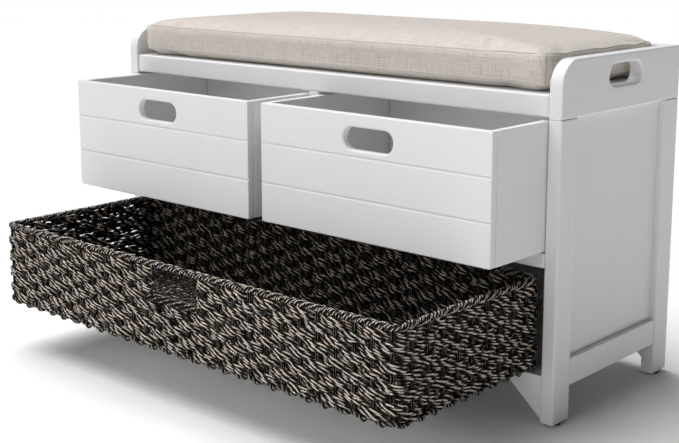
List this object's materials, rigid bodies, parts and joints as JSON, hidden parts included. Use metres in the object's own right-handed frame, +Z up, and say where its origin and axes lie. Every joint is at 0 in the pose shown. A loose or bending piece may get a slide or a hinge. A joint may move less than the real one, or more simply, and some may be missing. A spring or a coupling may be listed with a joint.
{
  "type": "entryway storage bench",
  "caption": "White painted entryway bench with a boxed linen cushion, side-by-side slotted drawers and a long woven pull-out basket beneath.",
  "frame": {"origin": "on the floor, at the middle of the box that the bench fills with its drawers and basket standing out as stored", "axes": "+X to the right seen from the front, along the bench's length; +Y to the back; +Z up"},
  "size_m": [0.9, 0.622, 0.54],
  "materials": {
    "white_paint": "satin white paint over board, eased edges",
    "woven_seagrass": "dark espresso stained seagrass cord, matt",
    "linen_cover": "plain-weave linen-look cover over foam, matt",
    "glide_plastic": "moulded black plastic"
  },
  "bodies": {
    "carcass": {"left_end_board": "white_paint", "left_front_post": "white_paint", "left_rear_post": "white_paint", "left_side_rail": "white_paint", "left_side_panel": "white_paint", "left_front_gusset": "white_paint", "left_rear_gusset": "white_paint", "left_front_glide": "glide_plastic", "left_rear_glide": "glide_plastic", "left_seat_cleat": "white_paint", "left_deck_cleat": "white_paint", "right_end_board": "white_paint", "right_front_post": "white_paint", "right_rear_post": "white_paint", "right_side_rail": "white_paint", "right_side_panel": "white_paint", "right_front_gusset": "white_paint", "right_rear_gusset": "white_paint", "right_front_glide": "glide_plastic", "right_rear_glide": "glide_plastic", "right_seat_cleat": "white_paint", "right_deck_cleat": "white_paint", "seat_apron": "white_paint", "seat_board": "white_paint", "seat_back_rail": "white_paint", "drawer_divider_rail": "white_paint", "drawer_deck": "white_paint", "centre_post": "white_paint", "centre_partition": "white_paint", "front_bottom_rail": "white_paint", "rear_bottom_rail": "white_paint", "bottom_shelf": "white_paint", "back_panel": "white_paint"},
    "left_drawer": {"left_drawer_front": "white_paint", "left_drawer_left_side": "white_paint", "left_drawer_right_side": "white_paint", "left_drawer_back": "white_paint", "left_drawer_floor": "white_paint"},
    "right_drawer": {"right_drawer_front": "white_paint", "right_drawer_left_side": "white_paint", "right_drawer_right_side": "white_paint", "right_drawer_back": "white_paint", "right_drawer_floor": "white_paint"},
    "basket": {"basket_rim": "woven_seagrass", "basket_border": "woven_seagrass", "basket_front_wall": "woven_seagrass", "basket_rear_wall": "woven_seagrass", "basket_left_wall": "woven_seagrass", "basket_right_wall": "woven_seagrass", "basket_grip_wrap": "woven_seagrass", "basket_floor": "woven_seagrass"},
    "cushion": {"seat_cushion": "linen_cover"}
  },
  "joints": [
    {"name": "left_drawer_slide", "type": "slide", "parent": "carcass", "child": "left_drawer", "axis": [0, -1, 0], "range_m": [-0.1325, 0.1]},
    {"name": "right_drawer_slide", "type": "slide", "parent": "carcass", "child": "right_drawer", "axis": [0, -1, 0], "range_m": [-0.1265, 0.106]},
    {"name": "basket_slide", "type": "slide", "parent": "carcass", "child": "basket", "axis": [0, -1, 0], "range_m": [-0.298, 0]},
    {"name": "cushion_lift", "type": "slide", "parent": "carcass", "child": "cushion", "axis": [0, 0, 1], "range_m": [0, 0.12]}
  ]
}
